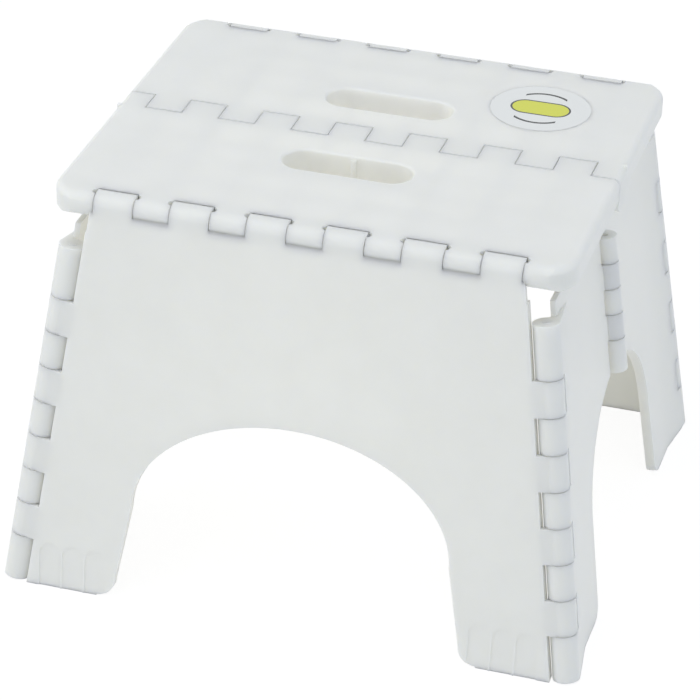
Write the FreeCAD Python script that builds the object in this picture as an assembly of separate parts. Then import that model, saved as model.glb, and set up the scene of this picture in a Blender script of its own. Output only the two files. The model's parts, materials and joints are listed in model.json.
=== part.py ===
import FreeCAD, Part
import math
import os

from FreeCAD import Matrix, Placement, Rotation, Vector

# Folding step stool, moulded in white polypropylene, standing open.
# Two seat halves, a front and a rear leg panel and four side half panels
# are joined along nine hinge lines. Each hinge line is a steel rod that
# runs through knuckles moulded on the two pieces that it joins.
# Millimetres, +Z up, origin on the floor at the middle of the stool,
# +X to the right along the hinges of the seat, the front at -Y.
#
# The four corner hinge lines and the two side hinge lines all point at one
# apex above the stool. That is what lets the eight panels fold flat.

# Stance
stool_height = 228.6
seat_width = 279.0
leg_axis_depth = 109.0
foot_axis_depth = 136.0
foot_axis_width = 154.0
side_axis_bulge = 4.8

# Seat
seat_skin = 3.0
seat_skirt = 3.0
seat_rib = 2.0
seat_corner_r = 18.0
seat_edge_r = 4.0
seat_under_edge_r = 2.0
rib_count_across = 8
rib_count_along = 3

# Handle slots
slot_length = 71.0
slot_width = 23.0
slot_depth_place = 39.5
slot_wall = 2.5
slot_rim_r = 1.5

# Centre hinge of the seat
centre_drop = 7.3
centre_barrel_r = 7.7
tab_width = 20.63
tab_rows = 14
tab_end_gap = 0.9
tab_side_gap = 0.5

# Hinges between the seat and the leg panels
leg_barrel_r = 7.0
leg_knuckle_width = 21.4
leg_knuckle_pitch = 41.26
leg_knuckles = 6
leg_side_gap = 0.35
leg_round_gap = 0.5

# Leg panels
leg_wall = 3.2
leg_rim_width = 3.0
leg_rim_depth = 2.0
arch_half_width = 88.0
arch_spring_height = 54.0
arch_rise = 62.6
arch_foot_half_width = 96.0
arch_foot_round = 10.0
leg_edge_gap = 1.0

# Corner hinges between leg panels and side panels
corner_barrel_r = 7.25
corner_first_height = 26.6
corner_row_height = 20.15
corner_rows = 7
corner_top_height = 197.0
corner_notch_gap = 1.5
corner_axial_gap = 0.5

# Side panels
side_wall = 3.0
side_face_offset = 3.0
side_top_height = 204.0
side_seam_gap = 0.8
side_rim_width = 3.0
side_rim_depth = 2.5
side_blend_width = 30.0
side_arch_half_width = 69.0
side_arch_spring_height = 50.0
side_arch_rise = 61.5
side_arch_foot_half_width = 73.0
side_arch_foot_round = 8.0

# Side centre hinges
side_barrel_r = 6.2
side_first_height = 110.5
side_end_row_height = 20.0
side_row_height = 15.1
side_rows = 5
side_notch_gap = 2.5
side_axial_gap = 0.6

# Hinge rods
rod_r = 2.0
rod_fit = 0.05
rod_inset = 2.0
bore_end_wall = 4.0
side_rod_r = 1.5
side_open_clearance = 2.6

# Round label
label_dia = 55.0
label_thickness = 0.2
label_place_x = 79.5
label_place_y = 61.0

# Worked out from the sizes above
leg_axis_height = stool_height - leg_barrel_r
centre_axis_height = leg_axis_height - centre_drop
seat_under = leg_axis_height - leg_barrel_r
lean = math.atan((foot_axis_depth - leg_axis_depth) / leg_axis_height)
apex_height = foot_axis_depth / math.tan(lean)
apex = Vector(0, 0, apex_height)
seat_half_depth = leg_axis_depth + leg_barrel_r
leg_drop = leg_axis_height / math.cos(lean)
apex_rise = (apex_height - leg_axis_height) / math.cos(lean)
side_lean = math.atan(foot_axis_width / apex_height)
side_reach = apex_height / math.cos(side_lean)
corner_foot = Vector(foot_axis_width, -foot_axis_depth, 0)
side_foot = Vector(foot_axis_width + side_axis_bulge, 0, 0)
side_bore_open_r = side_rod_r + side_open_clearance

# Cutting bodies reach this far past what they cut
over = 5.0
half_turn = Rotation(Vector(0, 0, 1), 180)

# Leg frame: origin on the hinge axis, x along it, y up the slope, z outwards
leg_frame = Placement(
    Vector(0, -leg_axis_depth, leg_axis_height),
    Rotation(Vector(1, 0, 0), 90 - math.degrees(lean)),
)

# Side frame: origin on the floor between the corner axes of the right side,
# x along world y, y up the slope, z outwards
side_frame = Placement(Matrix(
    0, -math.sin(side_lean), math.cos(side_lean), foot_axis_width,
    1, 0, 0, 0,
    0, math.cos(side_lean), math.sin(side_lean), 0,
    0, 0, 0, 1,
))


def polygon(points):
    """Closed flat face through points, at z = 0."""
    corners = [Vector(x, y, 0) for x, y in points]
    return Part.Face(Part.makePolygon(corners + [corners[0]]))


def prism(face, low, high):
    """Extrude a face that lies at z = 0 from low to high."""
    body = face.extrude(Vector(0, 0, high - low))
    body.translate(Vector(0, 0, low))
    return body


def round_bar(start, end, radius):
    """Cylinder from start to end."""
    line = end - start
    return Part.makeCylinder(radius, line.Length, start, line)


def x_bar(x_low, x_high, y, z, radius):
    """Cylinder along X."""
    return round_bar(Vector(x_low, y, z), Vector(x_high, y, z), radius)


def box(x_low, x_high, y_low, y_high, z_low, z_high):
    """Box between two corners."""
    return Part.makeBox(
        x_high - x_low, y_high - y_low, z_high - z_low, Vector(x_low, y_low, z_low))


def fuse(pieces):
    """Join overlapping solids into one."""
    body = pieces[0].multiFuse(pieces[1:])
    return body.removeSplitter()


def cut(body, tools):
    """Cut all the tools from a body."""
    return body.cut(tools)


def on_floor(body):
    """Cut away what reaches below the floor."""
    size = 4 * foot_axis_width
    ground = box(-size, size, -size, size, -size, 0)
    return body.cut(ground)


def only_solid(shape):
    """The largest solid of a shape."""
    return max(shape.Solids, key=lambda solid: solid.Volume)


def axis_frame(foot, towards, side):
    """Frame with y along an axis and x in the plane of the axis and side."""
    along = (towards - foot).normalize()
    normal = side.cross(along).normalize()
    across = along.cross(normal)
    return Placement(Matrix(
        across.x, along.x, normal.x, foot.x,
        across.y, along.y, normal.y, foot.y,
        across.z, along.z, normal.z, foot.z,
        0, 0, 0, 1,
    ))


def moved(shape, placement):
    """Copy of a shape, moved from a local frame to the frame around it."""
    copy = shape.copy()
    copy.transformShape(placement.toMatrix(), True)
    return copy


# Rows of the hinges, as lists of low and high ends


def seat_tab_rows(front):
    """X ranges of the interlocking tabs of one seat half."""
    edges = [-seat_width / 2]
    for index in range(tab_rows - 1):
        edges.append((index - (tab_rows - 2) / 2) * tab_width)
    edges.append(seat_width / 2)
    rows = list(zip(edges[:-1], edges[1:]))
    return rows[0::2] if front else rows[1::2]


def leg_knuckle_rows():
    """X ranges of the knuckles of a leg panel on the seat's hinge."""
    rows = []
    for index in range(leg_knuckles):
        middle = (index - (leg_knuckles - 1) / 2) * leg_knuckle_pitch
        rows.append((middle - leg_knuckle_width / 2, middle + leg_knuckle_width / 2))
    return rows


def corner_row_edges():
    """Heights at which the knuckles of a corner hinge meet."""
    heights = [0.0]
    for index in range(corner_rows + 1):
        heights.append(corner_first_height + index * corner_row_height)
    heights.append(corner_top_height)
    return heights


def corner_rows_of(side_piece):
    """Distances along the corner axis of one piece's knuckles."""
    stretch = (apex - corner_foot).Length / apex_height
    edges = [height * stretch for height in corner_row_edges()]
    rows = list(zip(edges[:-1], edges[1:]))
    return rows[0::2] if side_piece else rows[1::2]


def side_row_edges():
    """Heights at which the knuckles of a side centre hinge meet."""
    heights = [side_first_height, side_first_height + side_end_row_height]
    for index in range(1, side_rows):
        heights.append(heights[1] + index * side_row_height)
    return heights


def side_rows_of(rear_piece):
    """Distances along the side axis of one piece's knuckles."""
    stretch = (apex - side_foot).Length / apex_height
    edges = [height * stretch for height in side_row_edges()]
    rows = list(zip(edges[:-1], edges[1:]))
    return rows[0::2] if rear_piece else rows[1::2]


# Seat


def seat_envelope():
    """Outer form of the whole seat: a rounded slab with barrel edges."""
    width = seat_width / 2
    slab = box(-width, width, -seat_half_depth, seat_half_depth, seat_under, stool_height)
    uprights = [edge for edge in slab.Edges if abs(edge.BoundBox.ZLength) > 1]
    slab = slab.makeFillet(seat_corner_r, uprights)
    top = [edge for edge in slab.Edges if edge.BoundBox.ZMin > stool_height - 0.01]
    slab = slab.makeFillet(seat_edge_r, top)
    under = [edge for edge in slab.Edges if edge.BoundBox.ZMax < seat_under + 0.01]
    slab = slab.makeFillet(seat_under_edge_r, under)
    middle = box(
        -width, width, -leg_axis_depth, leg_axis_depth, seat_under, stool_height)
    front = x_bar(-width, width, -leg_axis_depth, leg_axis_height, leg_barrel_r)
    rear = x_bar(-width, width, leg_axis_depth, leg_axis_height, leg_barrel_r)
    return slab.common(fuse([middle, front, rear]))


def slot_outline(length, width, y, low, high):
    """Stadium shaped prism for a handle slot."""
    straight = length / 2 - width / 2
    parts = [box(-straight, straight, y - width / 2, y + width / 2, low, high)]
    for end in (-straight, straight):
        parts.append(Part.makeCylinder(width / 2, high - low, Vector(end, y, low)))
    return fuse(parts)


def seat_tab(low, high, root):
    """Tab of a seat half, with its knuckle round the centre axis."""
    left = low + tab_side_gap / 2 if low > -seat_width / 2 else low
    right = high - tab_side_gap / 2 if high < seat_width / 2 else high
    block = box(left, right, root, centre_barrel_r, centre_axis_height, stool_height)
    barrel = x_bar(left, right, 0, centre_axis_height, centre_barrel_r)
    return [block, barrel]


def seat_half():
    """Front seat half. The rear one is the same moulding, turned round."""
    width = seat_width / 2
    edge = -(centre_barrel_r + tab_end_gap)
    slab = box(-width, width, -seat_half_depth, edge, seat_under, stool_height)

    # Hollow underside with its skirts
    inner_front = -leg_axis_depth + leg_barrel_r + leg_round_gap + seat_skirt
    inner_rear = edge - seat_skirt
    pocket = box(
        -width + seat_skirt, width - seat_skirt, inner_front, inner_rear,
        seat_under - over, stool_height - seat_skin)

    # Ribs across and along the hollow
    ribs = []
    span = inner_rear - inner_front
    for index in range(rib_count_across):
        x = (index + 1) * seat_width / (rib_count_across + 1) - width
        ribs.append(box(
            x - seat_rib / 2, x + seat_rib / 2, inner_front - 1, inner_rear + 1,
            seat_under, stool_height - seat_skin / 2))
    for index in range(rib_count_along):
        y = inner_front + (index + 1) * span / (rib_count_along + 1)
        ribs.append(box(
            -width + 1, width - 1, y - seat_rib / 2, y + seat_rib / 2,
            seat_under, stool_height - seat_skin / 2))

    # Wall round the handle slot
    wall = slot_outline(
        slot_length + 2 * slot_wall, slot_width + 2 * slot_wall,
        -slot_depth_place, seat_under, stool_height - seat_skin / 2)
    hollow = slab.cut(pocket)
    body = fuse([hollow, wall] + ribs)
    body = body.common(seat_envelope())

    # Tabs and knuckles of the centre hinge
    tabs = []
    for low, high in seat_tab_rows(True):
        tabs.extend(seat_tab(low, high, edge - seat_skirt / 2))
    body = fuse([body] + tabs)

    # Handle slot, centre bore and hinge bore
    tools = [slot_outline(
        slot_length, slot_width, -slot_depth_place, seat_under - over, stool_height + over)]
    bore_r = rod_r + rod_fit
    tools.append(x_bar(
        -width - over, width - bore_end_wall, -leg_axis_depth, leg_axis_height, bore_r))
    tools.append(x_bar(-width - over, width + over, 0, centre_axis_height, bore_r))

    # Notches for the knuckles of the leg panel
    for low, high in leg_knuckle_rows():
        left = low - leg_side_gap
        right = high + leg_side_gap
        tools.append(x_bar(
            left, right, -leg_axis_depth, leg_axis_height, leg_barrel_r + leg_round_gap))
        tools.append(box(
            left, right, -seat_half_depth - over, -leg_axis_depth,
            seat_under - over, leg_axis_height))
    body = cut(body, tools)
    rim = [e for e in body.Edges if slot_rim_edge(e)]
    body = body.makeFillet(slot_rim_r, rim)
    return only_solid(body)


def slot_rim_edge(edge):
    """True for the top edges of the front handle slot."""
    bounds = edge.BoundBox
    if bounds.ZMin < stool_height - 0.01:
        return False
    reach_x = slot_length / 2 + 0.01
    reach_y = slot_width / 2 + 0.01
    inside_x = bounds.XMin > -reach_x and bounds.XMax < reach_x
    inside_y = (bounds.YMin > -slot_depth_place - reach_y
                and bounds.YMax < -slot_depth_place + reach_y)
    return inside_x and inside_y


# Leg panels


def leg_line(height):
    """Place up the leg's slope of a height above the floor."""
    return height / math.cos(lean) - leg_drop


def corner_line_x(y, inset):
    """X of the corner hinge axis at a place up the leg's slope, less an inset."""
    return foot_axis_width * (apex_rise - y) / (apex_rise + leg_drop) - inset


def arch_face(half, spring, rise, foot_half, foot_round, line, grow):
    """Face of an arched opening that flares out at the floor.

    line turns a height into a place up the slope, grow widens the opening.
    """
    a = half + grow
    b = rise + grow
    foot = foot_half + grow
    y_spring = line(spring)
    y_floor = line(0)
    y_round = y_floor + foot_round
    y_below = y_floor - 3 * over
    radius = foot_round
    crown = Part.Ellipse(Vector(a, y_spring, 0), Vector(0, y_spring + b, 0), Vector(0, y_spring, 0))
    top = Part.ArcOfEllipse(crown, 0, math.pi).toShape()
    edges = [top]
    for side in (1, -1):
        knee = Vector(side * foot, y_round, 0)
        toe = Vector(side * (foot + radius), y_floor, 0)
        mid = Vector(
            side * (foot + radius * (1 - math.sqrt(0.5))),
            y_floor + radius * (1 - math.sqrt(0.5)), 0)
        edges.append(Part.makeLine(Vector(side * a, y_spring, 0), knee))
        edges.append(Part.Arc(knee, mid, toe).toShape())
        edges.append(Part.makeLine(toe, Vector(toe.x, y_below, 0)))
    edges.append(Part.makeLine(
        Vector(-foot - radius, y_below, 0), Vector(foot + radius, y_below, 0)))
    wire = Part.Wire(Part.__sortEdges__(edges))
    return Part.Face(wire)


def leg_arch(grow):
    """Opening of a leg panel."""
    return arch_face(
        arch_half_width, arch_spring_height, arch_rise,
        arch_foot_half_width, arch_foot_round, leg_line, grow)


def leg_panel():
    """Front leg panel, in the leg frame, then moved to its place."""
    face = leg_barrel_r
    inner = face - leg_wall
    top = 0
    bottom = leg_line(0) - over
    inset = corner_barrel_r + leg_edge_gap
    outline = polygon([
        (-corner_line_x(top, inset), top), (corner_line_x(top, inset), top),
        (corner_line_x(bottom, inset), bottom), (-corner_line_x(bottom, inset), bottom)])
    plate = prism(outline, inner, face)
    parts = [plate]

    # Raised rim round the arch, on the inside
    band = prism(leg_arch(leg_rim_width), inner - leg_rim_depth, face)
    parts.append(band.common(prism(outline, inner - leg_rim_depth, face)))

    # Knuckles on the seat's hinge
    for low, high in leg_knuckle_rows():
        parts.append(x_bar(low, high, 0, 0, leg_barrel_r))

    # Room between them for the knuckles of the seat half
    tools = [prism(leg_arch(0), -over, face + over)]
    ends = [-seat_width / 2] + [x for row in leg_knuckle_rows() for x in row] + [seat_width / 2]
    for low, high in zip(ends[0::2], ends[1::2]):
        tools.append(x_bar(low, high, 0, 0, leg_barrel_r + leg_round_gap))

    # Knuckles on the two corner hinges
    for side in (1, -1):
        foot = Vector(side * foot_axis_width, leg_line(0), 0)
        frame = axis_frame(foot, Vector(0, apex_rise, 0), Vector(side, 0, 0))
        flip = 1 if frame.multVec(Vector(0, 0, 1)).z > 0 else -1
        low_z, high_z = (inner, face) if flip > 0 else (-face, -inner)
        for low, high in corner_rows_of(False):
            start = low + corner_axial_gap / 2
            end = high - corner_axial_gap / 2
            arm = box(-inset - 1, 0, start, end, low_z, high_z)
            barrel = round_bar(Vector(0, start, 0), Vector(0, end, 0), corner_barrel_r)
            parts.append(moved(arm, frame))
            parts.append(moved(barrel, frame))
        bore = round_bar(Vector(0, -over, 0), Vector(0, leg_drop, 0), rod_r + rod_fit)
        tools.append(moved(bore, frame))
        for low, high in corner_rows_of(True):
            room = corner_barrel_r + corner_notch_gap
            start = low - corner_axial_gap / 2
            end = high + corner_axial_gap / 2
            notch = round_bar(Vector(0, start, 0), Vector(0, end, 0), room)
            tools.append(moved(notch, frame))
    tools.append(x_bar(-seat_width, seat_width, 0, 0, rod_r + rod_fit))
    body = cut(fuse(parts), tools)
    return on_floor(moved(only_solid(body), leg_frame))


# Side panels


def side_line(height):
    """Place up the side's slope of a height above the floor."""
    return height / math.cos(side_lean)


def side_arch(grow):
    """Opening of a pair of side panels."""
    return arch_face(
        side_arch_half_width, side_arch_spring_height, side_arch_rise,
        side_arch_foot_half_width, side_arch_foot_round, side_line, grow)


def side_panel(rear):
    """Right side half panel, in the side frame, then moved to its place."""
    sign = 1 if rear else -1
    face = side_face_offset
    inner = face - side_wall
    top = side_line(side_top_height)
    bottom = -over
    inset = corner_barrel_r + corner_notch_gap

    def corner_x(y):
        return foot_axis_depth * (1 - y / side_reach) - inset

    def half_outline(seam):
        return polygon([
            (sign * seam, top), (sign * corner_x(top), top),
            (sign * corner_x(bottom), bottom), (sign * seam, bottom)])

    outline = half_outline(side_seam_gap)
    parts = [prism(outline, inner, face)]

    # Inner rim along the arch
    band = prism(side_arch(side_rim_width), inner - side_rim_depth, face)
    parts.append(band.common(prism(outline, inner - side_rim_depth, face)))

    # Corner hinge, with the outer face blended out to its barrels
    to_side = side_frame.inverse()
    corner = to_side.multVec(Vector(corner_foot.x, sign * foot_axis_depth, 0))
    peak = to_side.multVec(apex)
    frame = axis_frame(corner, peak, Vector(sign, 0, 0))
    up = 1 if frame.Rotation.multVec(Vector(0, 0, 1)).z > 0 else -1
    length = (peak - corner).Length * corner_top_height / apex_height
    section = [
        Vector(0, 0, 0), Vector(0, 0, up * corner_barrel_r),
        Vector(-side_blend_width, 0, up * face), Vector(-side_blend_width, 0, up * inner)]
    blend_face = Part.Face(Part.makePolygon(section + [section[0]]))
    blend = blend_face.extrude(Vector(0, length - corner_axial_gap / 2, 0))
    parts.append(moved(blend, frame))
    tools = [prism(side_arch(0), inner - side_rim_depth - over, face + over)]
    for low, high in corner_rows_of(True):
        start = low + corner_axial_gap / 2
        end = high - corner_axial_gap / 2
        parts.append(moved(
            round_bar(Vector(0, start, 0), Vector(0, end, 0), corner_barrel_r), frame))
    for low, high in corner_rows_of(False):
        start = low - corner_axial_gap / 2
        end = high + corner_axial_gap / 2
        tools.append(moved(
            round_bar(Vector(0, start, 0), Vector(0, end, 0), inset), frame))
    bore = round_bar(Vector(0, -over, 0), Vector(0, side_reach / 2, 0), rod_r + rod_fit)
    tools.append(moved(bore, frame))

    # Side centre hinge
    foot = to_side.multVec(side_foot)
    hinge = axis_frame(foot, peak, Vector(sign, 0, 0))
    room = side_barrel_r + side_notch_gap
    bore_r = side_rod_r + rod_fit if rear else side_bore_open_r
    bores = []
    knuckles = []
    for low, high in side_rows_of(rear):
        start = low + side_axial_gap / 2
        end = high - side_axial_gap / 2
        barrel = moved(
            round_bar(Vector(0, start, 0), Vector(0, end, 0), side_barrel_r), hinge)
        arm = prism(half_outline(0), inner, face)
        slab = moved(box(-room, room, start, end, -2 * room, 2 * room), hinge)
        knuckles.append(barrel)
        knuckles.append(arm.common(slab))
        bores.append(moved(
            round_bar(Vector(0, low - over, 0), Vector(0, high + over, 0), bore_r), hinge))
    for low, high in side_rows_of(not rear):
        start = low - side_axial_gap / 2
        end = high + side_axial_gap / 2
        tools.append(moved(
            round_bar(Vector(0, start, 0), Vector(0, end, 0), room), hinge))
    body = cut(fuse(parts), tools)
    body = fuse([only_solid(body)] + knuckles)
    body = cut(body, bores)
    return on_floor(moved(only_solid(body), side_frame))


# Rods and label


def corner_rod():
    """Rod of the right front corner hinge."""
    axis = (apex - corner_foot).normalize()
    stretch = (apex - corner_foot).Length / apex_height
    start = corner_foot + axis * (rod_inset * stretch)
    end = corner_foot + axis * ((corner_top_height - rod_inset) * stretch)
    return round_bar(start, end, rod_r)


def side_rod():
    """Rod of the right side centre hinge."""
    axis = (apex - side_foot).normalize()
    rows = side_rows_of(True)
    start = side_foot + axis * (rows[0][0] + rod_inset)
    end = side_foot + axis * (rows[-1][1] - rod_inset)
    return round_bar(start, end, side_rod_r)


def leg_rod():
    """Rod of the front leg hinge."""
    return x_bar(
        -seat_width / 2 + rod_inset, seat_width / 2 - bore_end_wall - rod_inset,
        -leg_axis_depth, leg_axis_height, rod_r)


def centre_rod():
    """Rod of the centre hinge of the seat."""
    return x_bar(
        -seat_width / 2 + rod_inset, seat_width / 2 - rod_inset, 0,
        centre_axis_height, rod_r)


def label():
    """Round label, let in flush on the rear seat half."""
    return Part.makeCylinder(
        label_dia / 2, label_thickness,
        Vector(label_place_x, label_place_y, stool_height - label_thickness))


def turned(shape):
    """The same piece on the far side, turned half round the middle."""
    return moved(shape, Placement(Vector(0, 0, 0), half_turn))


def mirrored(shape):
    """The same piece on the left, mirrored across the middle."""
    return shape.mirror(Vector(0, 0, 0), Vector(1, 0, 0))


def build():
    """All pieces by node name."""
    front_half = seat_half()
    sticker = label()
    rear_half = turned(front_half).cut(sticker)
    leg = leg_panel()
    side_front = side_panel(False)
    side_rear = side_panel(True)
    corner = corner_rod()
    side = side_rod()
    front_rod = leg_rod()
    return {
        "front_seat_half": front_half,
        "rear_seat_half": rear_half,
        "front_leg_panel": leg,
        "rear_leg_panel": turned(leg),
        "right_front_side_panel": side_front,
        "right_rear_side_panel": side_rear,
        "left_rear_side_panel": turned(side_front),
        "left_front_side_panel": turned(side_rear),
        "seat_centre_rod": centre_rod(),
        "front_leg_rod": front_rod,
        "rear_leg_rod": turned(front_rod),
        "right_front_corner_rod": corner,
        "left_front_corner_rod": mirrored(corner),
        "right_rear_corner_rod": turned(mirrored(corner)),
        "left_rear_corner_rod": turned(corner),
        "right_side_rod": side,
        "left_side_rod": turned(side),
        "round_label": sticker,
    }


os.makedirs("parts", exist_ok=True)
for name, shape in build().items():
    shape.exportStep("parts/" + name + ".step")
    print(name, len(shape.Solids), shape.isValid(), round(shape.Volume, 1))
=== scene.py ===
"""Looks of a white folding step stool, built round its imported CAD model.

Laid out as an add-on: one operator for each group of pieces and one for the
stage, and a panel in the sidebar that lists them. Metres, +Z up.
"""

import json
import math

import bpy
from mathutils import Matrix, Vector

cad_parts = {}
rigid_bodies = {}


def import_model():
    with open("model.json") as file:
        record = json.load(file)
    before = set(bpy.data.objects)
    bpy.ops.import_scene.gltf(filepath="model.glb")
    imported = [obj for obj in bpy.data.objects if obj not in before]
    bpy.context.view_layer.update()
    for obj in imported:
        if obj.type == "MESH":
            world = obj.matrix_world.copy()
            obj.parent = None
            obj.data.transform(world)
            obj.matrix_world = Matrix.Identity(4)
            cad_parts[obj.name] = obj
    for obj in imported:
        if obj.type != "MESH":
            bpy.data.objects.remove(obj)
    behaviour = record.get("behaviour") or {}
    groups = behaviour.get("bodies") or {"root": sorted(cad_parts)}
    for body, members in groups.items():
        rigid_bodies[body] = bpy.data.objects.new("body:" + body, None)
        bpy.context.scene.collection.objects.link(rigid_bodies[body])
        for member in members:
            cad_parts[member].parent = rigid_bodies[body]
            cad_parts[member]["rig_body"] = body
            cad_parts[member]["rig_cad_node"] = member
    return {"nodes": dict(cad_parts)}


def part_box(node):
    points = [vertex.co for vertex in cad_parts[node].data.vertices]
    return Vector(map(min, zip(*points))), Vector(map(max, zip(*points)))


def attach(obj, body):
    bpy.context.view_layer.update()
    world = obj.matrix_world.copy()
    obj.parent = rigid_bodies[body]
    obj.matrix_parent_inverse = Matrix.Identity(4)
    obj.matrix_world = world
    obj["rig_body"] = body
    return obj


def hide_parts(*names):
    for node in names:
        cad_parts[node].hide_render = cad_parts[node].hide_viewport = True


bl_info = {
    "name": "Folding step stool",
    "version": (1, 0, 0),
    "blender": (4, 5, 0),
    "location": "3D View > Sidebar > Stool",
    "description": "Finishes the pieces of a moulded folding step stool and sets its stage",
    "category": "Object",
}

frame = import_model()
MM = 0.001

# Places on the stool, in mm, from its CAD model
SEAT_END = 139.5
SEAT_TOP = 228.6
SEAT_UNDER = 214.6
SEAT_EDGE_R = 4.0
SEAT_CORNER_R = 18.0
SEAT_DEPTH = 116.0
TAB_REACH = 8.0
CENTRE_AXIS_Z = 214.3
LEG_AXIS_Y = 109.0
LEG_AXIS_Z = 221.6
LEG_BARREL_R = 7.0
KNUCKLE_PITCH = 41.26
KNUCKLE_PLACES = [(index - 2.5) * KNUCKLE_PITCH for index in range(6)]
KNUCKLE_HALF = 10.7
KNUCKLE_LIP = 2.25
NOTCH_HALF = 11.05
NOTCH_LIP = 2.69
BORE_R = 2.05
ROD_R = 2.0
FOOT_AXIS_X = 154.0
FOOT_AXIS_Y = 136.0
APEX_Z = 1116.2
CORNER_TOP_Z = 197.0
CORNER_BARREL_R = 7.25
LEG_LEAN = math.atan((FOOT_AXIS_Y - LEG_AXIS_Y) / LEG_AXIS_Z)
LEG_LENGTH = LEG_AXIS_Z / math.cos(LEG_LEAN)

# Forms that the dressing adds, in mm
LEG_BORE_PLUG = 12.0
CENTRE_BORE_PLUG = 5.0
CORNER_BORE_PLUG = 1.6
FLARE_R = 2.4
FLARE_DEPTH = 3.5
FLARE_INWARDS = 0.3
FLARE_OUTWARDS = 2.6
SLOT_RIB_Y = -28.0
SLOT_RIB_R = 1.8
SLOT_RIB_ENDS = (SEAT_UNDER + 0.1, SEAT_TOP - 2)
EDGE_RIB_GAP = 0.4
EDGE_RIB_WIDTH = 2.2
EDGE_RIB_INNER = 0.5
EDGE_RIB_LENGTH = 212.0
KNUCKLE_TOP_START = 3.0
FLUTE_FIRST_X = 133.0
FLUTE_PITCH = 13.0
FLUTE_R = 6.0
FLUTE_TOP_Z = 25.0
FLUTE_FLOOR = 6.5

# Overlap with which two solids join, and reach of a cut past a face, in mm
OVERLAP = 0.02
PAST = 1.0

# How the copies of the CAD nodes are cleaned and smoothed
MERGE_GAP = 0.005 * MM
FLAT_ANGLE = math.radians(0.5)
SMOOTH_ANGLE = math.radians(30)
BAR_SIDES = 96

# Groups of mouldings: CAD node and the body that it rides on
SEAT_HALVES = {"front_seat_half": "front_seat", "rear_seat_half": "rear_seat"}
LEG_PANELS = {"front_leg_panel": "front_leg", "rear_leg_panel": "rear_leg"}
SIDE_PANELS = {
    "right_front_side_panel": "right_front_side",
    "right_rear_side_panel": "right_rear_side",
    "left_front_side_panel": "left_front_side",
    "left_rear_side_panel": "left_rear_side",
}

# Rods of the seat's hinges: body, y, z and half length in mm
SEAT_RODS = {
    "seat_centre_rod": ("front_seat", 0, CENTRE_AXIS_Z, 133.0),
    "front_leg_rod": ("front_leg", -LEG_AXIS_Y, LEG_AXIS_Z, 126.0),
    "rear_leg_rod": ("rear_leg", LEG_AXIS_Y, LEG_AXIS_Z, 126.0),
}

# Rods whose CAD solids are shown as they are
HINGE_RODS = [
    "right_front_corner_rod",
    "left_front_corner_rod",
    "right_rear_corner_rod",
    "left_rear_corner_rod",
    "right_side_rod",
    "left_side_rod",
]

# Lamps: place and size in metres, power in watts and colour
LAMPS = {
    "overhead_softbox": ((-0.5, -0.7, 1.9), 1.4, 7.2, "#FFFFFF"),
    "left_softbox": ((-1.8, -1.2, 0.9), 1.0, 6.6, "#FFFFFF"),
    "right_softbox": ((1.9, -0.5, 0.8), 1.0, 2.9, "#C8DAFF"),
    "corner_softbox": ((1.0, -1.1, 1.5), 0.3, 0.9, "#FFFFFF"),
}
LAMP_AIM = Vector((0, 0, 0.1))

# Camera at the photograph's angle: place in metres, its own axes and lens in mm
CAMERA_PLACE = (0.4241, -1.5044, 1.0052)
CAMERA_RIGHT = Vector((0.95741, 0.28795, 0.02188))
CAMERA_UP = Vector((-0.16312, 0.47670, 0.86382))
CAMERA_LENS = 167.47


def linear(hex_colour):
    """An sRGB hex colour as linear RGBA."""
    channels = [int(hex_colour[i : i + 2], 16) / 255 for i in (1, 3, 5)]
    return [c / 12.92 if c <= 0.04045 else ((c + 0.055) / 1.055) ** 2.4 for c in channels] + [1.0]


def colour_setting(name, description, hex_colour):
    """A colour in the settings."""
    return bpy.props.FloatVectorProperty(
        name=name, description=description, subtype="COLOR", size=4, min=0, max=1,
        default=linear(hex_colour))


class StoolSettings(bpy.types.PropertyGroup):
    """Sizes and colours that a user may want to change."""

    plastic_colour: colour_setting(
        "Plastic", "Pigment of the moulded polypropylene", "#EFEFEB")
    rod_colour: colour_setting(
        "Rods", "Bare drawn steel of the hinge rods", "#B9BABB")
    label_colour: colour_setting(
        "Label film", "Ground of the round label", "#EEEFED")
    mark_colour: colour_setting(
        "Label mark", "Yellow ink of the plain mark on the label", "#DDE03A")
    ink_colour: colour_setting(
        "Label lines", "Dark ink of the lines on the label", "#33383A")
    edge_rounding: bpy.props.FloatProperty(
        name="Edge rounding",
        description="Radius that the mould leaves on the small edges",
        subtype="DISTANCE",
        unit="LENGTH",
        min=0.0001,
        max=0.002,
        default=0.2 * MM,
    )
    edge_angle: bpy.props.FloatProperty(
        name="Edge angle",
        description="Edges sharper than this are rounded",
        subtype="ANGLE",
        unit="ROTATION",
        default=math.radians(38),
    )
    floor_size: bpy.props.FloatProperty(
        name="Floor",
        description="Side of the square floor",
        subtype="DISTANCE",
        unit="LENGTH",
        default=14.0,
    )


def settings():
    """The settings of the scene."""
    return bpy.context.scene.stool


def add_node(tree, kind, options=None, inputs=None):
    """Add a shader node, set its options, and fill or link its inputs."""
    node = tree.nodes.new(kind)
    for key, value in (options or {}).items():
        setattr(node, key, value)
    for key, value in (inputs or {}).items():
        if isinstance(value, bpy.types.NodeSocket):
            tree.links.new(value, node.inputs[key])
        else:
            node.inputs[key].default_value = value
    return node


def new_material(name):
    """An empty node material, its tree and its output node."""
    material = bpy.data.materials.new(name)
    material.use_nodes = True
    material.node_tree.nodes.clear()
    output = add_node(material.node_tree, "ShaderNodeOutputMaterial")
    return material, material.node_tree, output


def material_named(name, maker):
    """A material that has been made already, or a new one."""
    return bpy.data.materials.get(name) or maker()


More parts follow.
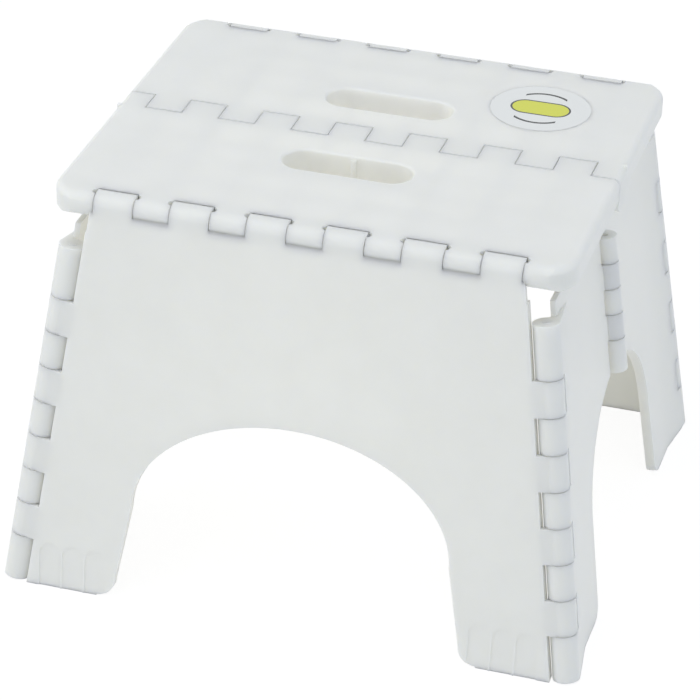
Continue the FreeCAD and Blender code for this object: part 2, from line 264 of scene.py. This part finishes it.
def moulded_polypropylene():
    """White polypropylene, injection moulded.

    Its thin walls let some light through, warmer than the light outside, so
    the inside of the stool never gets dark. The polished mould leaves a low
    sheen with faint flow marks.
    """
    material, tree, output = new_material("moulded_polypropylene")
    place = add_node(tree, "ShaderNodeTexCoord").outputs["Object"]
    # Flow marks are some 25 mm across and only shift the tone a little
    flow = add_node(
        tree, "ShaderNodeTexNoise", {}, {"Vector": place, "Scale": 1 / (25 * MM), "Detail": 3.0})
    tone = add_node(
        tree, "ShaderNodeMapRange", {},
        {"Value": flow.outputs["Fac"], "From Min": 0.3, "From Max": 0.7,
         "To Min": 0.975, "To Max": 1.0})
    colour = add_node(
        tree, "ShaderNodeMix", {"data_type": "RGBA", "blend_type": "MULTIPLY"},
        {0: 1.0, 6: tuple(settings().plastic_colour), 7: tone.outputs[0]})
    # The mould's spark grain is about 0.1 mm, drawn at 0.9 mm so that it shows
    grain = add_node(
        tree, "ShaderNodeTexNoise", {}, {"Vector": place, "Scale": 1 / (0.9 * MM), "Detail": 2.0})
    sheen = add_node(
        tree, "ShaderNodeMapRange", {},
        {"Value": flow.outputs["Fac"], "From Min": 0.3, "From Max": 0.7,
         "To Min": 0.34, "To Max": 0.44})
    wave = add_node(
        tree, "ShaderNodeBump", {},
        {"Height": flow.outputs["Fac"], "Strength": 0.12, "Distance": 0.35 * MM})
    skin = add_node(
        tree, "ShaderNodeBump", {},
        {"Height": grain.outputs["Fac"], "Strength": 0.06, "Distance": 0.1 * MM,
         "Normal": wave.outputs["Normal"]})
    body = add_node(
        tree, "ShaderNodeBsdfPrincipled", {},
        {"Base Color": colour.outputs[2], "Roughness": sheen.outputs[0], "IOR": 1.49,
         "Subsurface Weight": 1.0, "Subsurface Radius": (1.0, 0.98, 0.88),
         "Subsurface Scale": 5 * MM, "Normal": skin.outputs["Normal"]})
    tree.links.new(body.outputs[0], output.inputs["Surface"])
    return material


def drawn_steel():
    """Bare steel wire, drawn through a die, which leaves it finely marked.

    It is bright, with a sheen that changes a little from place to place.
    """
    material, tree, output = new_material("drawn_steel_wire")
    place = add_node(tree, "ShaderNodeTexCoord").outputs["Object"]
    # The die's marks are about 0.2 mm apart, drawn at 0.6 mm so that they show
    marks = add_node(
        tree, "ShaderNodeTexNoise", {}, {"Vector": place, "Scale": 1 / (0.6 * MM), "Detail": 2.0})
    rough = add_node(
        tree, "ShaderNodeMapRange", {},
        {"Value": marks.outputs["Fac"], "To Min": 0.28, "To Max": 0.46})
    body = add_node(
        tree, "ShaderNodeBsdfPrincipled", {},
        {"Base Color": tuple(settings().rod_colour), "Metallic": 1.0,
         "Roughness": rough.outputs[0]})
    tree.links.new(body.outputs[0], output.inputs["Surface"])
    return material


def label_film():
    """Printed polyester film, gloss laminated.

    Its ground is as white as the seat but shinier, with a plain yellow bar
    in a dark outline between two short dark arcs.
    """
    material, tree, output = new_material("printed_label_film")
    low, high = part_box("round_label")
    centre = (low + high) / 2
    radius = (high.x - low.x) / 2
    bar_reach = 0.30 * radius
    bar_half = 0.27 * radius
    outline_half = 0.31 * radius
    arc_radius = 0.66 * radius
    arc_half = 0.03 * radius
    arc_reach = 0.42 * radius
    place = add_node(tree, "ShaderNodeTexCoord").outputs["Object"]
    middle = add_node(
        tree, "ShaderNodeMapping", {"vector_type": "POINT"},
        {"Vector": place, "Location": tuple(-centre)})
    flat = add_node(
        tree, "ShaderNodeVectorMath", {"operation": "MULTIPLY"},
        {0: middle.outputs[0], 1: (1, 1, 0)})
    reach = add_node(
        tree, "ShaderNodeVectorMath", {"operation": "LENGTH"}, {0: flat.outputs[0]})
    axes = add_node(tree, "ShaderNodeSeparateXYZ", {}, {0: flat.outputs[0]})

    def step(operation, first, second=0.0):
        """One step of the sums on the label's plan."""
        return add_node(
            tree, "ShaderNodeMath", {"operation": operation}, {0: first, 1: second}).outputs[0]

    # Distance from a short level line gives a bar with round ends
    past_end = step("SUBTRACT", step("ABSOLUTE", axes.outputs[0]), bar_reach)
    along = step("MAXIMUM", past_end, 0.0)
    across = step("ABSOLUTE", axes.outputs[1])
    from_line = step("SQRT", step("ADD", step("POWER", along, 2.0), step("POWER", across, 2.0)))
    bar = step("LESS_THAN", from_line, bar_half)
    outline = step("SUBTRACT", step("LESS_THAN", from_line, outline_half), bar)
    # Arcs near the edge, above and below the bar
    from_arc = step("ABSOLUTE", step("SUBTRACT", reach.outputs["Value"], arc_radius))
    ring = step("LESS_THAN", from_arc, arc_half)
    narrow = step("LESS_THAN", step("ABSOLUTE", axes.outputs[0]), arc_reach)
    dark = step("MAXIMUM", outline, step("MULTIPLY", ring, narrow))
    yellow = add_node(
        tree, "ShaderNodeMix", {"data_type": "RGBA"},
        {0: bar, 6: tuple(settings().label_colour), 7: tuple(settings().mark_colour)})
    print_colour = add_node(
        tree, "ShaderNodeMix", {"data_type": "RGBA"},
        {0: dark, 6: yellow.outputs[2], 7: tuple(settings().ink_colour)})
    body = add_node(
        tree, "ShaderNodeBsdfPrincipled", {},
        {"Base Color": print_colour.outputs[2], "Roughness": 0.2, "IOR": 1.57})
    tree.links.new(body.outputs[0], output.inputs["Surface"])
    return material


def looked_at(tree):
    """1 for the eye, mirrors and glass, 0 for light on its way to a surface."""
    path = add_node(tree, "ShaderNodeLightPath")
    mirror = add_node(
        tree, "ShaderNodeMath", {"operation": "MAXIMUM"},
        {0: path.outputs["Is Glossy Ray"], 1: path.outputs["Is Transmission Ray"]})
    direct = add_node(
        tree, "ShaderNodeMath", {"operation": "MAXIMUM"},
        {0: path.outputs["Is Camera Ray"], 1: mirror.outputs[0]})
    return direct.outputs[0]


def white_paper_floor():
    """White background paper.

    The eye and mirrors see mostly plain white, with a faint shadow of the
    stool, and the light meets plain matt paper. From below it is clear, so
    that the underside can be looked at.
    """
    material, tree, output = new_material("white_paper_floor")
    paper = add_node(tree, "ShaderNodeBsdfDiffuse", {}, {"Color": linear("#F4F4F4")})
    glow = add_node(tree, "ShaderNodeEmission", {}, {"Color": (1, 1, 1, 1), "Strength": 1.1})
    seen = add_node(
        tree, "ShaderNodeMixShader", {}, {0: 0.8, 1: paper.outputs[0], 2: glow.outputs[0]})
    upper = add_node(
        tree, "ShaderNodeMixShader", {},
        {0: looked_at(tree), 1: paper.outputs[0], 2: seen.outputs[0]})
    clear = add_node(tree, "ShaderNodeBsdfTransparent")
    back = add_node(tree, "ShaderNodeNewGeometry").outputs["Backfacing"]
    both = add_node(
        tree, "ShaderNodeMixShader", {}, {0: back, 1: upper.outputs[0], 2: clear.outputs[0]})
    tree.links.new(both.outputs[0], output.inputs["Surface"])
    return material


def studio_world():
    """World that is plain white to the eye and soft sky light on the stool."""
    world = bpy.data.worlds.new("studio")
    world.use_nodes = True
    tree = world.node_tree
    tree.nodes.clear()
    sky = add_node(
        tree, "ShaderNodeBackground", {}, {"Color": linear("#F2F7FC"), "Strength": 0.68})
    white = add_node(
        tree, "ShaderNodeBackground", {}, {"Color": (1, 1, 1, 1), "Strength": 1.0})
    mix = add_node(
        tree, "ShaderNodeMixShader", {},
        {0: looked_at(tree), 1: sky.outputs[0], 2: white.outputs[0]})
    output = add_node(tree, "ShaderNodeOutputWorld")
    tree.links.new(mix.outputs[0], output.inputs["Surface"])
    return world


def select_only(thing):
    """Leave one object selected and active."""
    bpy.ops.object.select_all(action="DESELECT")
    thing.select_set(True)
    bpy.context.view_layer.objects.active = thing


def apply_place():
    """Put the selected object's place into its mesh."""
    bpy.ops.object.transform_apply(location=True, rotation=True, scale=True)


def solid_box(low, high):
    """Box between two corners, in mm."""
    low = Vector(low) * MM
    high = Vector(high) * MM
    bpy.ops.mesh.primitive_cube_add(size=1, location=(low + high) / 2)
    block = bpy.context.active_object
    block.scale = high - low
    apply_place()
    return block


def solid_bar(start, end, radius):
    """Cylinder between two points, in mm."""
    start = Vector(start) * MM
    end = Vector(end) * MM
    line = end - start
    bpy.ops.mesh.primitive_cylinder_add(
        vertices=BAR_SIDES, radius=radius * MM, depth=line.length, location=(start + end) / 2)
    bar = bpy.context.active_object
    bar.rotation_euler = line.to_track_quat("Z", "Y").to_euler()
    apply_place()
    return bar


def joined(tools):
    """Several solids that don't touch, as one object."""
    select_only(tools[0])
    for tool in tools[1:]:
        tool.select_set(True)
    bpy.ops.object.join()
    return bpy.context.active_object


def combine(piece, tool, operation):
    """Join a tool to a piece, cut it out of it or keep what they share."""
    select_only(piece)
    bpy.ops.object.modifier_add(type="BOOLEAN")
    change = piece.modifiers[-1]
    change.operation = operation
    change.solver = "EXACT"
    change.object = tool
    bpy.ops.object.modifier_apply(modifier=change.name)
    select_only(tool)
    bpy.ops.object.delete()
    if not piece.data.polygons:
        raise RuntimeError(piece.name + " was lost in a boolean step")


def corner_plug(side, row):
    """Closed end of a leg hinge's bore, flush with the seat's round corner."""
    plug = solid_bar(
        (side * (SEAT_END - LEG_BORE_PLUG), row * LEG_AXIS_Y, LEG_AXIS_Z),
        (side * SEAT_END, row * LEG_AXIS_Y, LEG_AXIS_Z), BORE_R + OVERLAP)
    x = side * (SEAT_END - SEAT_CORNER_R)
    y = row * (SEAT_DEPTH - SEAT_CORNER_R)
    corner = solid_bar((x, y, SEAT_UNDER), (x, y, SEAT_TOP), SEAT_CORNER_R)
    combine(plug, corner, "INTERSECT")
    return plug


def round_off(side):
    """What the rounding along a seat end takes off the last tab."""
    inner = SEAT_END - SEAT_EDGE_R
    shoulder = SEAT_TOP - SEAT_EDGE_R
    xs = sorted([side * inner, side * (SEAT_END + PAST)])
    strip = solid_box((xs[0], -TAB_REACH, shoulder), (xs[1], TAB_REACH, SEAT_TOP + PAST))
    core = solid_bar(
        (side * inner, -TAB_REACH - PAST, shoulder),
        (side * inner, TAB_REACH + PAST, shoulder), SEAT_EDGE_R)
    combine(strip, core, "DIFFERENCE")
    return strip


def dress_seat_half(piece, row):
    """Closed bores, rounded tab ends and flared notch corners of a seat half.

    row is -1 for the front half, which also has the rib in its handle slot,
    and 1 for the rear one.
    """
    for side in (-1, 1):
        combine(piece, corner_plug(side, row), "UNION")
    combine(piece, round_off(row), "DIFFERENCE")
    plug = solid_bar(
        (row * (SEAT_END - CENTRE_BORE_PLUG), 0, CENTRE_AXIS_Z),
        (row * SEAT_END, 0, CENTRE_AXIS_Z), BORE_R + OVERLAP)
    combine(piece, plug, "UNION")
    flares = []
    y = row * (LEG_AXIS_Y - NOTCH_LIP + FLARE_OUTWARDS)
    for place in KNUCKLE_PLACES:
        for side in (-1, 1):
            x = place + side * (NOTCH_HALF - FLARE_INWARDS)
            flares.append(solid_bar((x, y, SEAT_TOP - FLARE_DEPTH), (x, y, SEAT_TOP + PAST), FLARE_R))
    combine(piece, joined(flares), "DIFFERENCE")
    if row < 0:
        bottom, top = SLOT_RIB_ENDS
        rib = solid_bar((0, SLOT_RIB_Y, bottom), (0, SLOT_RIB_Y, top), SLOT_RIB_R)
        combine(piece, rib, "UNION")


def toe_flutes(row):
    """Shallow arch-topped flutes for the outside of a leg panel's feet."""
    shoulder = FLUTE_TOP_Z / math.cos(LEG_LEAN) - LEG_LENGTH - FLUTE_R
    foot = -LEG_LENGTH - 5 * PAST
    proud = LEG_BARREL_R + 2 * PAST
    tools = []
    for side in (-1, 1):
        for index in range(3):
            x = side * (FLUTE_FIRST_X - FLUTE_PITCH * index)
            flute = solid_box((x - FLUTE_R, foot, FLUTE_FLOOR), (x + FLUTE_R, shoulder, proud))
            top = solid_bar((x, shoulder, FLUTE_FLOOR), (x, shoulder, proud), FLUTE_R)
            combine(flute, top, "UNION")
            tools.append(flute)
    flutes = joined(tools)
    slope = Matrix.Rotation(math.radians(90) - LEG_LEAN, 4, "X")
    hinge = Matrix.Translation(Vector((0, -LEG_AXIS_Y, LEG_AXIS_Z)) * MM)
    flutes.matrix_world = hinge @ slope
    apply_place()
    if row > 0:
        flutes.rotation_euler = (0, 0, math.radians(180))
        apply_place()
    return flutes


def along_corner(side, row, height):
    """Point on a corner hinge axis at a height above the floor."""
    share = 1 - height / APEX_Z
    return Vector((side * FOOT_AXIS_X * share, row * FOOT_AXIS_Y * share, height))


def edge_rib(side, row):
    """Rib along a leg panel's edge that closes the gap beside the barrels."""
    foot = along_corner(side, row, 0)
    along = (along_corner(side, row, 100) - foot).normalized()
    inwards = Vector((-side, 0, 0))
    outwards = Vector((0, row, 0))
    outwards = (outwards - along * outwards.dot(along)).normalized()
    inwards = (inwards - along * inwards.dot(along)).normalized()
    outwards = (outwards - inwards * outwards.dot(inwards)).normalized()
    near = CORNER_BARREL_R + EDGE_RIB_GAP
    rib = solid_box(
        (near, EDGE_RIB_INNER, -10),
        (near + EDGE_RIB_WIDTH, LEG_BARREL_R - OVERLAP, EDGE_RIB_LENGTH))
    rows = Matrix((inwards, outwards, along)).transposed().to_4x4()
    rib.matrix_world = Matrix.Translation(foot * MM) @ rows
    apply_place()
    # A left-handed set of axes has turned the box inside out
    if rows.determinant() < 0:
        bpy.ops.object.mode_set(mode="EDIT")
        bpy.ops.mesh.select_all(action="SELECT")
        bpy.ops.mesh.normals_make_consistent(inside=False)
        bpy.ops.object.mode_set(mode="OBJECT")
    combine(rib, solid_box((-200, -200, -30), (200, 200, OVERLAP)), "DIFFERENCE")
    return rib


def dress_leg_panel(piece, row):
    """Flat tops of a leg panel's knuckles, ribs on its edges, flutes on its feet."""
    for side in (-1, 1):
        combine(piece, edge_rib(side, row), "UNION")
    tops = []
    ys = sorted([row * LEG_AXIS_Y, row * (LEG_AXIS_Y - KNUCKLE_LIP)])
    half = KNUCKLE_HALF - OVERLAP / 2
    for place in KNUCKLE_PLACES:
        tops.append(solid_box(
            (place - half, ys[0], LEG_AXIS_Z + KNUCKLE_TOP_START), (place + half, ys[1], SEAT_TOP)))
    combine(piece, joined(tops), "UNION")
    combine(piece, toe_flutes(row), "DIFFERENCE")


def dress_side_panel(piece, row):
    """Closed top of the corner hinge's bore."""
    side = 1 if "right" in piece.name else -1
    plug = solid_bar(
        along_corner(side, row, CORNER_TOP_Z - CORNER_BORE_PLUG),
        along_corner(side, row, CORNER_TOP_Z), BORE_R + OVERLAP)
    combine(piece, plug, "UNION")


def finished_copy(node_name, body_name, material, dress, row):
    """Dressed copy of a CAD node with rounded edges, which stands for the node."""
    select_only(frame["nodes"][node_name])
    bpy.ops.object.duplicate()
    piece = bpy.context.view_layer.objects.active
    bpy.ops.object.parent_clear(type="CLEAR_KEEP_TRANSFORM")
    # The copy is a new piece, not a CAD node
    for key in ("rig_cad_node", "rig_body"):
        del piece[key]
    piece.name = node_name + "_moulding"
    bpy.ops.object.mode_set(mode="EDIT")
    bpy.ops.mesh.select_all(action="SELECT")
    bpy.ops.mesh.remove_doubles(threshold=MERGE_GAP)
    bpy.ops.mesh.dissolve_limited(angle_limit=FLAT_ANGLE)
    bpy.ops.object.mode_set(mode="OBJECT")
    dress(piece, row)
    select_only(piece)
    bpy.ops.object.modifier_add(type="BEVEL")
    bevel = piece.modifiers[-1]
    bevel.width = settings().edge_rounding
    bevel.segments = 3
    bevel.limit_method = "ANGLE"
    bevel.angle_limit = settings().edge_angle
    bpy.ops.object.modifier_apply(modifier=bevel.name)
    bpy.ops.object.shade_smooth_by_angle(angle=SMOOTH_ANGLE)
    bpy.ops.object.modifier_add(type="WEIGHTED_NORMAL")
    shading = piece.modifiers[-1]
    shading.keep_sharp = True
    bpy.ops.object.modifier_apply(modifier=shading.name)
    piece.data.materials.clear()
    piece.data.materials.append(material)
    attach(piece, body_name)
    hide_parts(node_name)


def finish_group(group, dress):
    """Finished copies of a group of moulded panels."""
    plastic = material_named("moulded_polypropylene", moulded_polypropylene)
    for node_name, body_name in group.items():
        row = -1 if "front" in node_name else 1
        finished_copy(node_name, body_name, plastic, dress, row)


class STOOL_OT_seat_halves(bpy.types.Operator):
    """Finish the two seat halves"""

    bl_idname = "stool.seat_halves"
    bl_label = "Seat halves"

    def execute(self, context):
        finish_group(SEAT_HALVES, dress_seat_half)
        return {"FINISHED"}


class STOOL_OT_leg_panels(bpy.types.Operator):
    """Finish the front and rear leg panels"""

    bl_idname = "stool.leg_panels"
    bl_label = "Leg panels"

    def execute(self, context):
        finish_group(LEG_PANELS, dress_leg_panel)
        return {"FINISHED"}


class STOOL_OT_side_panels(bpy.types.Operator):
    """Finish the four side half panels"""

    bl_idname = "stool.side_panels"
    bl_label = "Side panels"

    def execute(self, context):
        finish_group(SIDE_PANELS, dress_side_panel)
        return {"FINISHED"}


class STOOL_OT_hinge_rods(bpy.types.Operator):
    """Give the hinge rods their steel, and the seat's three their length"""

    bl_idname = "stool.hinge_rods"
    bl_label = "Hinge rods"

    def execute(self, context):
        steel = material_named("drawn_steel_wire", drawn_steel)
        for name in HINGE_RODS:
            rod = frame["nodes"][name]
            rod.data.materials.clear()
            rod.data.materials.append(steel)
        for name, (body, y, z, reach) in SEAT_RODS.items():
            rod = solid_bar((-reach, y, z), (reach, y, z), ROD_R)
            rod.name = name + "_wire"
            bpy.ops.object.shade_smooth_by_angle(angle=SMOOTH_ANGLE)
            rod.data.materials.append(steel)
            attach(rod, body)
            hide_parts(name)
        return {"FINISHED"}


class STOOL_OT_label(bpy.types.Operator):
    """Print the round label"""

    bl_idname = "stool.label"
    bl_label = "Round label"

    def execute(self, context):
        disc = frame["nodes"]["round_label"]
        disc.data.materials.clear()
        disc.data.materials.append(material_named("printed_label_film", label_film))
        return {"FINISHED"}


class STOOL_OT_stage(bpy.types.Operator):
    """Set the floor, the light and the camera"""

    bl_idname = "stool.stage"
    bl_label = "Stage"

    def execute(self, context):
        scene = context.scene
        scene.view_settings.view_transform = "Standard"

        # Floor, just under the feet
        bpy.ops.object.select_all(action="DESELECT")
        bpy.ops.mesh.primitive_plane_add(size=settings().floor_size, location=(0, 0, -0.1 * MM))
        floor = context.active_object
        floor.name = "floor"
        floor.data.materials.append(white_paper_floor())

        # Light
        scene.world = studio_world()
        for name, (place, size, power, colour) in LAMPS.items():
            bpy.ops.object.light_add(type="AREA", location=place)
            lamp = context.active_object
            lamp.name = name
            aim = LAMP_AIM - Vector(place)
            lamp.rotation_euler = aim.to_track_quat("-Z", "Y").to_euler()
            lamp.data.size = size
            lamp.data.energy = power
            lamp.data.color = linear(colour)[:3]

        # Light that the thin walls let into the space under the seat
        bpy.ops.object.light_add(type="POINT", location=(0, 0, 0.13))
        inside = context.active_object
        inside.name = "light_under_the_seat"
        inside.data.energy = 0.17
        inside.data.shadow_soft_size = 0.05
        inside.data.color = linear("#FFF9E8")[:3]

        # Camera
        bpy.ops.object.camera_add(location=CAMERA_PLACE)
        camera = context.active_object
        back = CAMERA_RIGHT.cross(CAMERA_UP)
        turn = Matrix((CAMERA_RIGHT, CAMERA_UP, back)).transposed()
        camera.rotation_euler = turn.to_euler()
        camera.data.sensor_width = 36.0
        camera.data.lens = CAMERA_LENS
        camera.data.clip_start = 0.05
        camera.data.clip_end = 50.0
        scene.camera = camera
        return {"FINISHED"}


OPERATORS = (
    STOOL_OT_seat_halves,
    STOOL_OT_leg_panels,
    STOOL_OT_side_panels,
    STOOL_OT_hinge_rods,
    STOOL_OT_label,
    STOOL_OT_stage,
)


class STOOL_PT_panel(bpy.types.Panel):
    """Settings and buttons for the stool's pieces and its stage"""

    bl_label = "Folding step stool"
    bl_idname = "STOOL_PT_panel"
    bl_space_type = "VIEW_3D"
    bl_region_type = "UI"
    bl_category = "Stool"

    def draw(self, context):
        for name in StoolSettings.__annotations__:
            self.layout.prop(context.scene.stool, name)
        for operator in OPERATORS:
            self.layout.operator(operator.bl_idname)


CLASSES = (StoolSettings,) + OPERATORS + (STOOL_PT_panel,)


def register():
    """Register the classes and the settings."""
    for item in CLASSES:
        bpy.utils.register_class(item)
    bpy.types.Scene.stool = bpy.props.PointerProperty(type=StoolSettings)


def unregister():
    """Take the classes and the settings out again."""
    del bpy.types.Scene.stool
    for item in reversed(CLASSES):
        bpy.utils.unregister_class(item)


def main():
    """Build the looks."""
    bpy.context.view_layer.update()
    register()
    bpy.ops.stool.seat_halves()
    bpy.ops.stool.leg_panels()
    bpy.ops.stool.side_panels()
    bpy.ops.stool.hinge_rods()
    bpy.ops.stool.label()
    bpy.ops.stool.stage()


if __name__ == "__main__":
    main()
